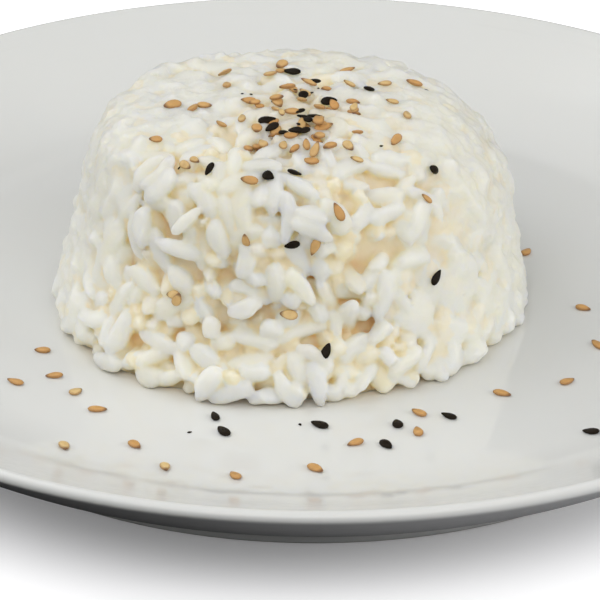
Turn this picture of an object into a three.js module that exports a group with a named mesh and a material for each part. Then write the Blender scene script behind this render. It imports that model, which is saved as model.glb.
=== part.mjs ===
// A moulded portion of cooked white rice, turned out of a bowl onto the round plate that carries it.
//
// Millimetres, +Z up. The origin is on the table, under the middle of the plate's foot ring.
// The plate is one solid of revolution. The rice is one solid out to its uneven outline: a cone with a
// rounded shoulder, a slightly oval base and grain-sized bumps, resting a little off the plate's middle.
import * as THREE from "three";

// ---- Driving dimensions of the plate ----

const PLATE_RADIUS = 115;
const PLATE_HEIGHT = 25.5;
const WELL_TOP = 11;            // upper face of the flat well, above the table
const WELL_RADIUS = 74;         // where the flat well starts to curve up into the rim
const WELL_THICKNESS = 5;
const LIP_ROUND = 1.2;          // radius of the rounded edge of the rim
const FOOT_RADIUS = 82;         // outer edge of the foot ring, where it stands on the table
const FOOT_WIDTH = 3.4;         // flat face of the foot ring that touches the table
const FOOT_EDGE = 0.8;          // small bevel either side of that face
const BELLY_RADIUS = 98.5;      // where the outer wall turns under, towards the foot
const BELLY_HEIGHT = 11.2;

// ---- Driving dimensions of the rice ----

const RICE_CENTRE = new THREE.Vector2(-3, -5);
const RICE_HEIGHT = 42.5;
const BASE_RADIUS = 46;
const BASE_LEAN = 0.8;          // the foot reaches this much further on the -X side
const TOP_RADIUS = 36.7;        // where the straight wall would meet the top, without the round shoulder
const TOP_LEAN = 0.7;           // the top reaches this much further on the +X side
const SHOULDER_ROUND = 16;      // mean radius of the rounded shoulder
const SHOULDER_LEAN = 8;        // the shoulder is rounder by this much on the +X side
const CROWN = 1.2;              // how far the top swells above its rim
const CROWN_LEAN = 0.8;         // it swells by this much less on the +X side
const SLUMP = 4.6;              // how far the foot has slumped outwards at the front, -Y
const SLUMP_ROUND = 0.2;        // share of that slump which goes all the way round
const SLUMP_HEIGHT = 13;        // the slump fades out at this height
const OVAL = new THREE.Vector2(1.2, 1.1);   // how far the base is from a circle
const BUMP = 0.8;               // height of the grain-sized bumps
const BUMP_LENGTH = 12;         // from one bump to the next, a grain with the gap beside it
const BUMP_WAVES = 9;
const REST_GAP = 0.3;           // clearance between the rice and the glaze under it

// ---- How finely the round shapes are cut ----

const PLATE_SIDES = 72;
const RICE_SIDES = 84;
const WALL_STEPS = 9;
const SHOULDER_STEPS = 8;
const CROWN_STEPS = 7;

// The plate's half section, from the axis under the well, out round the foot and the lip, and back
// to the axis over the well.
function plateSection() {
  const wellUnder = WELL_TOP - WELL_THICKNESS;
  const footInner = FOOT_RADIUS - FOOT_WIDTH;
  const lipRadius = PLATE_RADIUS - LIP_ROUND;
  const lipHeight = PLATE_HEIGHT - LIP_ROUND;

  const foot = [
    new THREE.Vector2(0, wellUnder),
    new THREE.Vector2(footInner - 3, wellUnder),
    new THREE.Vector2(footInner - 1.2, wellUnder - 1),
    new THREE.Vector2(footInner - FOOT_EDGE, FOOT_EDGE),
    new THREE.Vector2(footInner, 0),
    new THREE.Vector2(FOOT_RADIUS, 0),
    new THREE.Vector2(FOOT_RADIUS + FOOT_EDGE, FOOT_EDGE),
    new THREE.Vector2(FOOT_RADIUS + 1.6, wellUnder - 0.8),
  ];
  const belly = new THREE.CubicBezierCurve(
    new THREE.Vector2(FOOT_RADIUS + 3, wellUnder + 0.3),
    new THREE.Vector2(FOOT_RADIUS + 9, wellUnder + 1.8),
    new THREE.Vector2(BELLY_RADIUS - 3, BELLY_HEIGHT - 1.9),
    new THREE.Vector2(BELLY_RADIUS, BELLY_HEIGHT),
  ).getPoints(4);
  const outerWall = new THREE.QuadraticBezierCurve(
    new THREE.Vector2(BELLY_RADIUS, BELLY_HEIGHT),
    new THREE.Vector2(BELLY_RADIUS + 8.5, BELLY_HEIGHT + 5.4),
    new THREE.Vector2(lipRadius + LIP_ROUND * 0.9, lipHeight - LIP_ROUND * 0.45),
  ).getPoints(4).slice(1);
  const lip = new THREE.EllipseCurve(lipRadius, lipHeight, LIP_ROUND, LIP_ROUND, 0, Math.PI * 0.62).getPoints(4);
  const rim = new THREE.CubicBezierCurve(
    lip[lip.length - 1],
    new THREE.Vector2(PLATE_RADIUS - 14.5, WELL_TOP + 7.4),
    new THREE.Vector2(WELL_RADIUS + 14, WELL_TOP),
    new THREE.Vector2(WELL_RADIUS, WELL_TOP),
  ).getPoints(9).slice(1);

  return [...foot, ...belly, ...outerWall, ...lip, ...rim, new THREE.Vector2(0, WELL_TOP)];
}

// Height and radius of the rice's outline at one azimuth, from its base to the middle of its top.
function riceOutline(azimuth) {
  const side = Math.cos(azimuth);
  const oval = OVAL.x * Math.cos(2 * azimuth) + OVAL.y * Math.sin(2 * azimuth);
  const base = BASE_RADIUS + oval - BASE_LEAN * side;
  const top = TOP_RADIUS + oval + TOP_LEAN * side;
  const shoulder = SHOULDER_ROUND + SHOULDER_LEAN * side;
  const crown = CROWN - CROWN_LEAN * side;
  const facing = Math.max(0, -Math.sin(azimuth));
  const slump = SLUMP * (SLUMP_ROUND + (1 - SLUMP_ROUND) * facing);
  const wallHeight = RICE_HEIGHT - shoulder;
  const outline = [];

  for (let i = 0; i < WALL_STEPS; i++) {
    const up = wallHeight * i / WALL_STEPS;
    const spread = slump * Math.max(0, 1 - up / SLUMP_HEIGHT);
    outline.push(new THREE.Vector2(base - (base - top) * up / RICE_HEIGHT + spread, up));
  }
  const wallEnd = base - (base - top) * wallHeight / RICE_HEIGHT;
  for (let i = 0; i < SHOULDER_STEPS; i++) {
    const turn = Math.PI / 2 * i / SHOULDER_STEPS;
    outline.push(new THREE.Vector2(
      wallEnd - shoulder * (1 - Math.cos(turn)),
      wallHeight + (shoulder - crown) * Math.sin(turn),
    ));
  }
  for (let i = 0; i < CROWN_STEPS; i++) {
    const left = 1 - i / CROWN_STEPS;
    outline.push(new THREE.Vector2((wallEnd - shoulder) * left, RICE_HEIGHT - crown * left * left));
  }
  return outline;
}

// Grain-sized unevenness, about -1 to 1, from waves one grain long that cross in every direction.
function unevenness(point) {
  const goldenAngle = Math.PI * (3 - Math.sqrt(5));
  let sum = 0;
  for (let i = 0; i < BUMP_WAVES; i++) {
    const height = 1 - 2 * (i + 0.5) / BUMP_WAVES;
    const across = Math.sqrt(1 - height * height);
    const turn = goldenAngle * i;
    const direction = new THREE.Vector3(across * Math.cos(turn), across * Math.sin(turn), height);
    sum += Math.sin(2 * Math.PI * direction.dot(point) / BUMP_LENGTH + turn);
  }
  return sum / Math.sqrt(BUMP_WAVES);
}

function riceGeometry() {
  const rows = WALL_STEPS + SHOULDER_STEPS + CROWN_STEPS;
  const middle = new THREE.Vector3(0, 0, RICE_HEIGHT / 3);
  const positions = [];
  const triangles = [];

  for (let side = 0; side < RICE_SIDES; side++) {
    const azimuth = 2 * Math.PI * side / RICE_SIDES;
    riceOutline(azimuth).forEach((spot, row) => {
      const point = new THREE.Vector3(spot.x * Math.cos(azimuth), spot.x * Math.sin(azimuth), spot.y);
      const outward = point.clone().sub(middle).normalize();
      if (row === 0) {
        outward.setZ(0);        // the lowest row stays flat on the plate
      }
      point.addScaledVector(outward, BUMP * unevenness(point));
      positions.push(...point.toArray());
    });
  }
  const baseMiddle = RICE_SIDES * rows;
  const topMiddle = baseMiddle + 1;
  positions.push(0, 0, 0);
  positions.push(0, 0, RICE_HEIGHT);

  for (let side = 0; side < RICE_SIDES; side++) {
    const here = side * rows;
    const next = ((side + 1) % RICE_SIDES) * rows;
    triangles.push(baseMiddle, next, here);
    for (let row = 0; row < rows - 1; row++) {
      triangles.push(here + row, next + row, next + row + 1);
      triangles.push(here + row, next + row + 1, here + row + 1);
    }
    triangles.push(topMiddle, here + rows - 1, next + rows - 1);
  }

  const geometry = new THREE.BufferGeometry();
  geometry.setAttribute("position", new THREE.Float32BufferAttribute(positions, 3));
  geometry.setIndex(triangles);
  geometry.computeVertexNormals();
  return geometry;
}

function makePlate() {
  const glaze = new THREE.MeshStandardMaterial({ color: 0xe9ebe8, roughness: 0.08, metalness: 0 });
  const geometry = new THREE.LatheGeometry(plateSection(), PLATE_SIDES);
  geometry.rotateX(Math.PI / 2);
  const plate = new THREE.Mesh(geometry, glaze);
  plate.name = "plate";
  return plate;
}

function makeRice() {
  const grain = new THREE.MeshStandardMaterial({ color: 0xeceadd, roughness: 0.45, metalness: 0 });
  const rice = new THREE.Mesh(riceGeometry(), grain);
  rice.name = "rice";
  rice.position.set(RICE_CENTRE.x, RICE_CENTRE.y, WELL_TOP + REST_GAP);
  return rice;
}

const portion = new THREE.Group();
portion.add(makePlate(), makeRice());

export default portion;
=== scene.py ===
import math

import bmesh
import bpy
import numpy as np
from mathutils import Matrix, Vector
from mathutils.bvhtree import BVHTree
from mathutils.kdtree import KDTree


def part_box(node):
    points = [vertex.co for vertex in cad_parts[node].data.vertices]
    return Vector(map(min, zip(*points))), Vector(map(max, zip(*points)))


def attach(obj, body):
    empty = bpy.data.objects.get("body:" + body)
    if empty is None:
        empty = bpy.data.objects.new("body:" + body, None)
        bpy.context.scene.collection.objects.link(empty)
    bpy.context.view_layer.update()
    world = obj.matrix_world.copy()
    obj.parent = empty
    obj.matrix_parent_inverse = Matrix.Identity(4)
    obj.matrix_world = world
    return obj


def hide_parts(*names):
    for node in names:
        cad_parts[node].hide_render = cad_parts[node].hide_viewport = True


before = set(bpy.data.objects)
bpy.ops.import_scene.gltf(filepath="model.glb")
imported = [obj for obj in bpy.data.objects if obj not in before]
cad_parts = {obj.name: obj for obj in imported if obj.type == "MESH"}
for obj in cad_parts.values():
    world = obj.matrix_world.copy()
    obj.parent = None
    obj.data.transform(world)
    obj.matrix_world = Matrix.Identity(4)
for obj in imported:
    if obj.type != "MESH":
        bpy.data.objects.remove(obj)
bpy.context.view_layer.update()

bl_info = {
    "name": "Moulded Rice on a Plate",
    "version": (1, 0, 0),
    "blender": (4, 5, 0),
    "location": "View3D > Sidebar > Rice",
    "description": "A moulded portion of white rice with sesame seeds, on its glazed plate",
    "category": "Add Mesh",
}

MM = 0.001
BODY = "root"

_, plate_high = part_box("plate")
rice_low, rice_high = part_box("rice")


# ---------------------------------------------------------------------------------------------
# Sizes and colours
# ---------------------------------------------------------------------------------------------

def length_property(name, description, millimetres):
    return bpy.props.FloatProperty(
        name=name, description=description, default=millimetres * MM, min=0.0, unit="LENGTH",
        precision=4,
    )


def share_property(name, description, default):
    return bpy.props.FloatProperty(
        name=name, description=description, default=default, min=0.0, max=1.0, subtype="FACTOR",
    )


def colour_property(name, description, default):
    return bpy.props.FloatVectorProperty(
        name=name, description=description, default=default, min=0.0, max=1.0, size=3,
        subtype="COLOR",
    )


def brightness_property(name, description, default):
    return bpy.props.FloatProperty(name=name, description=description, default=default, min=0.0)


def angle_property(name, description, degrees):
    return bpy.props.FloatProperty(
        name=name, description=description, default=math.radians(degrees), subtype="ANGLE",
        unit="ROTATION",
    )


class PlateSizes(bpy.types.PropertyGroup):
    """Sizes and colours of the plate"""

    radius: length_property("Rim radius", "From the middle to the edge of the lip", plate_high.x / MM)
    height: length_property("Height", "From the table to the top of the lip", plate_high.z / MM)
    well_height: length_property("Well height", "Upper face of the flat well above the table", 11)
    well_radius: length_property("Well radius", "Where the well starts to curve up into the rim", 74)
    well_thickness: length_property("Well thickness", "Thickness of the clay under the well", 5)
    lip_round: length_property("Lip rounding", "Radius of the rounded edge of the rim", 1.2)
    foot_radius: length_property("Foot radius", "Outer edge of the foot ring on the table", 82)
    foot_width: length_property("Foot width", "Flat face of the foot ring on the table", 3.4)
    belly_radius: length_property("Belly radius", "Where the outer wall turns under", 98.5)
    belly_height: length_property("Belly height", "How high the outer wall turns under", 11.2)
    glaze: colour_property("Glaze", "Colour of the glaze where it lies thick", (0.74, 0.75, 0.743))
    bare_clay: colour_property("Bare clay", "Colour of the unglazed foot", (0.62, 0.58, 0.52))


class RiceSizes(bpy.types.PropertyGroup):
    """Sizes and colours of the rice"""

    grain_length: length_property("Grain length", "Mean length of a cooked grain", 8.4)
    grain_width: length_property("Grain width", "Mean width of a cooked grain", 3.4)
    shell: length_property("Packed depth", "How deep separate grains are packed over the core", 6.5)
    ragged: length_property("Raggedness", "How far grains stand out of the mould's surface", 1.0)
    sticky: length_property("Stickiness", "Width of the gaps between grains that starch bridges", 0.12)
    broken: share_property("Broken grains", "Share of the grains that are broken", 0.12)
    white: colour_property("Grain colour", "Colour of the outermost grains", (0.78, 0.783, 0.745))
    cream: colour_property("Starch colour", "Colour of starch between the grains", (0.825, 0.80, 0.67))
    # Painted shade: the beige of the second layer and the deeper tan in the gaps stand in for shade and
    # for light scattered deep in the rice.
    inner: colour_property(
        "Second layer", "Colour of the grains below the outermost", (0.86, 0.765, 0.555))
    gap_shade: colour_property("Colour in the gaps", "Colour deep in the gaps", (0.90, 0.68, 0.33))


class SeedSizes(bpy.types.PropertyGroup):
    """Sizes and colours of the sesame seeds"""

    length: length_property("Seed length", "Mean length of a seed", 3.4)
    width: length_property("Seed width", "Mean width of a seed", 1.95)
    thickness: length_property("Seed thickness", "Mean thickness of a seed", 0.95)
    tan: colour_property("Toasted seed", "Colour of a toasted seed", (0.64, 0.33, 0.10))
    pale: colour_property("Pale seed", "Colour of a lightly toasted seed", (0.78, 0.58, 0.27))
    tip: colour_property("Seed tip", "Colour of a toasted seed's pointed tip", (0.16, 0.07, 0.03))
    dark: colour_property("Black seed", "Colour of a black seed", (0.012, 0.008, 0.004))


class StageSizes(bpy.types.PropertyGroup):
    """Camera, lights and floor"""

    distance: length_property("Camera distance", "From the plate to the camera", 6 * plate_high.x / MM)
    elevation: angle_property("Camera height", "Angle of the camera above the table", 27.35)
    roll: angle_property("Camera roll", "Turn of the camera about its own axis", 0.45)
    lens: bpy.props.FloatProperty(
        name="Lens", description="Focal length of the camera", default=208.8, unit="CAMERA",
    )
    front: brightness_property("Front softbox", "Brightness of the softbox in front", 2.25)
    low: brightness_property("Low softbox", "Brightness of the low softbox in front", 1.05)
    left: brightness_property("Left softbox", "Brightness of the softbox on the left", 1.5)
    right: brightness_property("Right softbox", "Brightness of the low softbox on the right", 5.1)
    back: brightness_property("Back softbox", "Brightness of the small softbox behind", 1.5)
    tent: brightness_property("Tent", "Brightness of the white tent round the set", 1.0)
    floor: colour_property("Floor", "Colour of the floor", (0.93, 0.93, 0.935))


# ---------------------------------------------------------------------------------------------
# Node helpers
# ---------------------------------------------------------------------------------------------

def add_node(tree, kind, settings=None, inputs=None):
    """Adds one node. An input is a plain value or the output socket of another node."""
    made = tree.nodes.new(kind)
    for name, value in (settings or {}).items():
        setattr(made, name, value)
    for name, value in (inputs or {}).items():
        if isinstance(value, bpy.types.NodeSocket):
            tree.links.new(value, made.inputs[name])
        else:
            made.inputs[name].default_value = value
    return made


def calculate(tree, operation, first, second=0.0, clamp=False):
    return add_node(
        tree, "ShaderNodeMath", {"operation": operation, "use_clamp": clamp}, {0: first, 1: second}
    ).outputs[0]


def remap(tree, value, old_low, old_high, new_low=0.0, new_high=1.0, smooth=False):
    made = add_node(
        tree, "ShaderNodeMapRange", {"interpolation_type": "SMOOTHSTEP" if smooth else "LINEAR"},
        {"Value": value, "From Min": old_low, "From Max": old_high, "To Min": new_low,
         "To Max": new_high},
    )
    return made.outputs["Result"]


def mix_colours(tree, share, first, second, blend="MIX"):
    made = add_node(tree, "ShaderNodeMix", {"data_type": "RGBA", "blend_type": blend})
    for socket, value in ((made.inputs[0], share), (made.inputs[6], first), (made.inputs[7], second)):
        if isinstance(value, bpy.types.NodeSocket):
            tree.links.new(value, socket)
        elif hasattr(value, "__len__"):
            socket.default_value = (*value, 1.0)
        else:
            socket.default_value = value
    return made.outputs[2]


def new_tree(name, kind, inputs, outputs):
    """A node tree with named sockets; inputs and outputs are (name, socket type, default)."""
    tree = bpy.data.node_groups.new(name, kind)
    for direction, sockets in (("INPUT", inputs), ("OUTPUT", outputs)):
        for label, socket_type, default in sockets:
            socket = tree.interface.new_socket(label, in_out=direction, socket_type=socket_type)
            if default is not None:
                socket.default_value = default
    entry = tree.nodes.new("NodeGroupInput")
    leave = tree.nodes.new("NodeGroupOutput")
    return tree, entry, leave


def bake_modifiers(piece):
    """Keeps what the piece's modifiers make of it as its own plain mesh."""
    depsgraph = bpy.context.evaluated_depsgraph_get()
    result = bpy.data.meshes.new_from_object(
        piece.evaluated_get(depsgraph), preserve_all_data_layers=True, depsgraph=depsgraph
    )
    piece.modifiers.clear()
    piece.data = result
    result.name = piece.name


def run_tree(piece, tree, values):
    """Runs a geometry tree on a piece and keeps the result as the piece's own plain mesh."""
    modifier = piece.modifiers.new(tree.name, "NODES")
    modifier.node_group = tree
    for item in tree.interface.items_tree:
        if item.item_type == "SOCKET" and item.in_out == "INPUT" and item.name in values:
            modifier[item.identifier] = values[item.name]
    bake_modifiers(piece)
    return piece


def new_piece(name, vertices, faces=(), edges=()):
    mesh = bpy.data.meshes.new(name)
    mesh.from_pydata([tuple(v) for v in vertices], list(edges), list(faces))
    piece = bpy.data.objects.new(name, mesh)
    bpy.context.scene.collection.objects.link(piece)
    return piece


def set_attribute(mesh, name, kind, values):
    attribute = mesh.attributes.get(name) or mesh.attributes.new(name, kind, "POINT")
    key = "vector" if kind == "FLOAT_VECTOR" else "value"
    attribute.data.foreach_set(key, np.ascontiguousarray(values).ravel())


def mesh_points(mesh):
    points = np.empty(len(mesh.vertices) * 3, np.float32)
    mesh.vertices.foreach_get("co", points)
    return points.reshape(-1, 3).astype(float)


# ---------------------------------------------------------------------------------------------
# Geometry trees
# ---------------------------------------------------------------------------------------------

def wheel_tree():
    """Turns a section, a row of points in the XZ plane, about the Z axis into a closed solid."""
    tree, entry, leave = new_tree(
        "turned_on_a_wheel", "GeometryNodeTree",
        [("Section", "NodeSocketGeometry", None), ("Sides", "NodeSocketInt", 256),
         ("Finish", "NodeSocketMaterial", None)],
        [("Solid", "NodeSocketGeometry", None)],
    )
    section = entry.outputs["Section"]
    count = add_node(
        tree, "GeometryNodeAttributeDomainSize", {"component": "MESH"}, {"Geometry": section}
    ).outputs["Point Count"]
    columns = calculate(tree, "ADD", entry.outputs["Sides"], 1)
    grid = add_node(
        tree, "GeometryNodeMeshGrid", inputs={"Vertices X": columns, "Vertices Y": count}
    ).outputs["Mesh"]
    index = add_node(tree, "GeometryNodeInputIndex").outputs["Index"]
    column = calculate(tree, "FLOOR", calculate(tree, "DIVIDE", index, count))
    row = calculate(tree, "SUBTRACT", index, calculate(tree, "MULTIPLY", column, count))
    angle = calculate(
        tree, "MULTIPLY", calculate(tree, "DIVIDE", column, entry.outputs["Sides"]), 2 * math.pi
    )
    position = add_node(tree, "GeometryNodeInputPosition").outputs["Position"]
    spot = add_node(
        tree, "GeometryNodeSampleIndex", {"data_type": "FLOAT_VECTOR", "domain": "POINT"},
        {"Geometry": section, "Value": position, "Index": row},
    ).outputs["Value"]
    turned = add_node(
        tree, "ShaderNodeVectorRotate", {"rotation_type": "Z_AXIS"}, {"Vector": spot, "Angle": angle}
    ).outputs["Vector"]
    placed = add_node(
        tree, "GeometryNodeSetPosition", inputs={"Geometry": grid, "Position": turned}
    ).outputs["Geometry"]
    closed = add_node(
        tree, "GeometryNodeMergeByDistance", inputs={"Geometry": placed, "Distance": 1e-6}
    ).outputs["Geometry"]
    smooth = add_node(tree, "GeometryNodeSetShadeSmooth", inputs={"Geometry": closed}).outputs[0]
    finished = add_node(
        tree, "GeometryNodeSetMaterial",
        inputs={"Geometry": smooth, "Material": entry.outputs["Finish"]},
    ).outputs["Geometry"]
    tree.links.new(finished, leave.inputs["Solid"])
    return tree


def scatter_tree():
    """Sets one of several shapes on every point, turned and stretched as the point's attributes say."""
    tree, entry, leave = new_tree(
        "set_on_places", "GeometryNodeTree",
        [("Places", "NodeSocketGeometry", None), ("Kinds", "NodeSocketCollection", None),
         ("Size Variation", "NodeSocketFloat", 0.05), ("Seed", "NodeSocketInt", 1),
         ("Finish", "NodeSocketMaterial", None)],
        [("Pieces", "NodeSocketGeometry", None)],
    )
    kinds = add_node(
        tree, "GeometryNodeCollectionInfo", {"transform_space": "ORIGINAL"},
        {"Collection": entry.outputs["Kinds"], "Separate Children": True, "Reset Children": True},
    ).outputs["Instances"]

    def attribute(name, kind):
        return add_node(
            tree, "GeometryNodeInputNamedAttribute", {"data_type": kind}, {"Name": name}
        ).outputs["Attribute"]

    spread = add_node(
        tree, "FunctionNodeRandomValue", {"data_type": "FLOAT"},
        {2: calculate(tree, "SUBTRACT", 1, entry.outputs["Size Variation"]),
         3: calculate(tree, "ADD", 1, entry.outputs["Size Variation"]),
         "Seed": entry.outputs["Seed"]},
    ).outputs[1]
    span = add_node(
        tree, "ShaderNodeVectorMath", {"operation": "SCALE"},
        {"Vector": attribute("span", "FLOAT_VECTOR"), "Scale": spread},
    ).outputs["Vector"]
    points = add_node(
        tree, "GeometryNodeMeshToPoints", {"mode": "VERTICES"}, {"Mesh": entry.outputs["Places"]}
    ).outputs["Points"]
    placed = add_node(
        tree, "GeometryNodeInstanceOnPoints", inputs={
            "Points": points, "Instance": kinds, "Pick Instance": True,
            "Instance Index": attribute("kind", "INT"),
            "Rotation": attribute("turn", "QUATERNION"), "Scale": span,
        },
    ).outputs["Instances"]
    joined = add_node(tree, "GeometryNodeRealizeInstances", inputs={"Geometry": placed}).outputs[0]
    finished = add_node(
        tree, "GeometryNodeSetMaterial",
        inputs={"Geometry": joined, "Material": entry.outputs["Finish"]},
    ).outputs["Geometry"]
    tree.links.new(finished, leave.inputs["Pieces"])
    return tree


def swell_tree():
    """Swells every grain a little differently, and fills up the gaps deep between them."""
    tree, entry, leave = new_tree(
        "swollen_grains", "GeometryNodeTree",
        [("Grains", "NodeSocketGeometry", None), ("Lump Length", "NodeSocketFloat", 3.8 * MM),
         ("Lump Height", "NodeSocketFloat", 0.26 * MM), ("Fat", "NodeSocketFloat", 0.25 * MM),
         ("Fill", "NodeSocketFloat", 0.18 * MM)],
        [("Swollen", "NodeSocketGeometry", None)],
    )
    noise = add_node(
        tree, "ShaderNodeTexNoise", {"noise_dimensions": "3D"},
        {"Scale": calculate(tree, "DIVIDE", 1.0, entry.outputs["Lump Length"]), "Detail": 1.0},
    ).outputs[0]
    lumps = calculate(
        tree, "MULTIPLY", remap(tree, noise, 0.25, 0.75, -1, 1), entry.outputs["Lump Height"])
    deep = add_node(
        tree, "GeometryNodeInputNamedAttribute", {"data_type": "FLOAT"}, {"Name": "deep"}
    ).outputs["Attribute"]
    filled = calculate(tree, "MULTIPLY", deep, entry.outputs["Fill"])
    swelling = calculate(tree, "ADD", calculate(tree, "ADD", lumps, filled), entry.outputs["Fat"])
    normal = add_node(tree, "GeometryNodeInputNormal").outputs["Normal"]
    offset = add_node(
        tree, "ShaderNodeVectorMath", {"operation": "SCALE"}, {"Vector": normal, "Scale": swelling}
    ).outputs["Vector"]
    raised = add_node(
        tree, "GeometryNodeSetPosition",
        inputs={"Geometry": entry.outputs["Grains"], "Offset": offset},
    ).outputs["Geometry"]
    tree.links.new(raised, leave.inputs["Swollen"])
    return tree


def skin_tree():
    """Draws the starch skin tight over fused grains and takes back what they were swollen by."""
    tree, entry, leave = new_tree(
        "starch_skin", "GeometryNodeTree",
        [("Heap", "NodeSocketGeometry", None), ("Rounds", "NodeSocketInt", 3),
         ("Smears", "NodeSocketInt", 40), ("Crumb Length", "NodeSocketFloat", 1.7 * MM),
         ("Crumb Height", "NodeSocketFloat", 0.2 * MM),
         ("Lump Length", "NodeSocketFloat", 4.4 * MM), ("Lump Height", "NodeSocketFloat", 0.3 * MM),
         ("Shrink", "NodeSocketFloat", 0.25 * MM), ("Finish", "NodeSocketMaterial", None)],
        [("Skin", "NodeSocketGeometry", None)],
    )
    position = add_node(tree, "GeometryNodeInputPosition").outputs["Position"]
    eased = add_node(
        tree, "GeometryNodeBlurAttribute", {"data_type": "FLOAT_VECTOR"},
        {"Value": position, "Iterations": entry.outputs["Rounds"]},
    ).outputs["Value"]
    smooth = add_node(
        tree, "GeometryNodeSetPosition",
        inputs={"Geometry": entry.outputs["Heap"], "Position": eased},
    ).outputs["Geometry"]
    paste = add_node(
        tree, "GeometryNodeInputNamedAttribute", {"data_type": "FLOAT"}, {"Name": "paste"}
    ).outputs["Attribute"]
    smeared = add_node(
        tree, "GeometryNodeBlurAttribute", {"data_type": "FLOAT_VECTOR"},
        {"Value": position, "Iterations": entry.outputs["Smears"], "Weight": paste},
    ).outputs["Value"]
    smooth = add_node(
        tree, "GeometryNodeSetPosition", inputs={"Geometry": smooth, "Position": smeared}
    ).outputs["Geometry"]
    noise = add_node(
        tree, "ShaderNodeTexNoise", {"noise_dimensions": "3D"},
        {"Scale": calculate(tree, "DIVIDE", 1.0, entry.outputs["Crumb Length"]), "Detail": 2.0},
    ).outputs[0]
    height = calculate(
        tree, "MULTIPLY", remap(tree, noise, 0.3, 0.7, -1, 1), entry.outputs["Crumb Height"])
    broad = add_node(
        tree, "ShaderNodeTexNoise", {"noise_dimensions": "3D"},
        {"Scale": calculate(tree, "DIVIDE", 1.0, entry.outputs["Lump Length"]), "Detail": 0.5},
    ).outputs[0]
    lumps = calculate(
        tree, "MULTIPLY", remap(tree, broad, 0.3, 0.7, -1, 1), entry.outputs["Lump Height"])
    lumps = calculate(tree, "MULTIPLY", lumps, paste)
    height = calculate(tree, "MULTIPLY", height, remap(tree, paste, 0, 1, 0.25, 1))
    height = calculate(tree, "ADD", height, lumps)
    normal = add_node(tree, "GeometryNodeInputNormal").outputs["Normal"]
    offset = add_node(
        tree, "ShaderNodeVectorMath", {"operation": "SCALE"},
        {"Vector": normal, "Scale": calculate(tree, "SUBTRACT", height, entry.outputs["Shrink"])},
    ).outputs["Vector"]
    shrunk = add_node(
        tree, "GeometryNodeSetPosition", inputs={"Geometry": smooth, "Offset": offset}
    ).outputs["Geometry"]
    shaded = add_node(tree, "GeometryNodeSetShadeSmooth", inputs={"Geometry": shrunk}).outputs[0]
    finished = add_node(
        tree, "GeometryNodeSetMaterial",
        inputs={"Geometry": shaded, "Material": entry.outputs["Finish"]},
    ).outputs["Geometry"]
    tree.links.new(finished, leave.inputs["Skin"])
    return tree


# ---------------------------------------------------------------------------------------------
# Materials
# ---------------------------------------------------------------------------------------------

def mottle_group():
    """Patches and fine grain that no real surface is without, as masks from 0 to 1."""
    tree, entry, leave = new_tree(
        "mottle", "ShaderNodeTree",
        [("Patch Length", "NodeSocketFloat", 10 * MM), ("Fine Length", "NodeSocketFloat", 1 * MM),
         ("Offset", "NodeSocketFloat", 0.0)],
        [("Patches", "NodeSocketFloat", None), ("Fine", "NodeSocketFloat", None)],
    )
    coordinates = add_node(tree, "ShaderNodeTexCoord").outputs["Object"]
    shifted = add_node(
        tree, "ShaderNodeVectorMath", {"operation": "ADD"},
        {0: coordinates, 1: entry.outputs["Offset"]},
    ).outputs["Vector"]
    for name, length, detail in (("Patches", "Patch Length", 2.0), ("Fine", "Fine Length", 3.0)):
        noise = add_node(
            tree, "ShaderNodeTexNoise", {"noise_dimensions": "3D"},
            {"Vector": shifted, "Detail": detail,
             "Scale": calculate(tree, "DIVIDE", 1.0, entry.outputs[length])},
        ).outputs[0]
        tree.links.new(remap(tree, noise, 0.3, 0.7), leave.inputs[name])
    return tree


def mottle(tree, patch_length, fine_length, offset=0.0):
    group = bpy.data.node_groups.get("mottle") or mottle_group()
    made = add_node(
        tree, "ShaderNodeGroup", {"node_tree": group},
        {"Patch Length": patch_length, "Fine Length": fine_length, "Offset": offset},
    )
    return made.outputs["Patches"], made.outputs["Fine"]


def new_material(name):
    material = bpy.data.materials.new(name)
    material.use_nodes = True
    tree = material.node_tree
    return material, tree, tree.nodes["Principled BSDF"]


def bump(tree, shader, height, distance, strength=1.0):
    made = add_node(
        tree, "ShaderNodeBump",
        inputs={"Height": height, "Distance": distance, "Strength": strength},
    )
    tree.links.new(made.outputs["Normal"], shader.inputs["Normal"])


def read_attribute(tree, name):
    return add_node(tree, "ShaderNodeAttribute", {"attribute_name": name}).outputs["Fac"]


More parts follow.
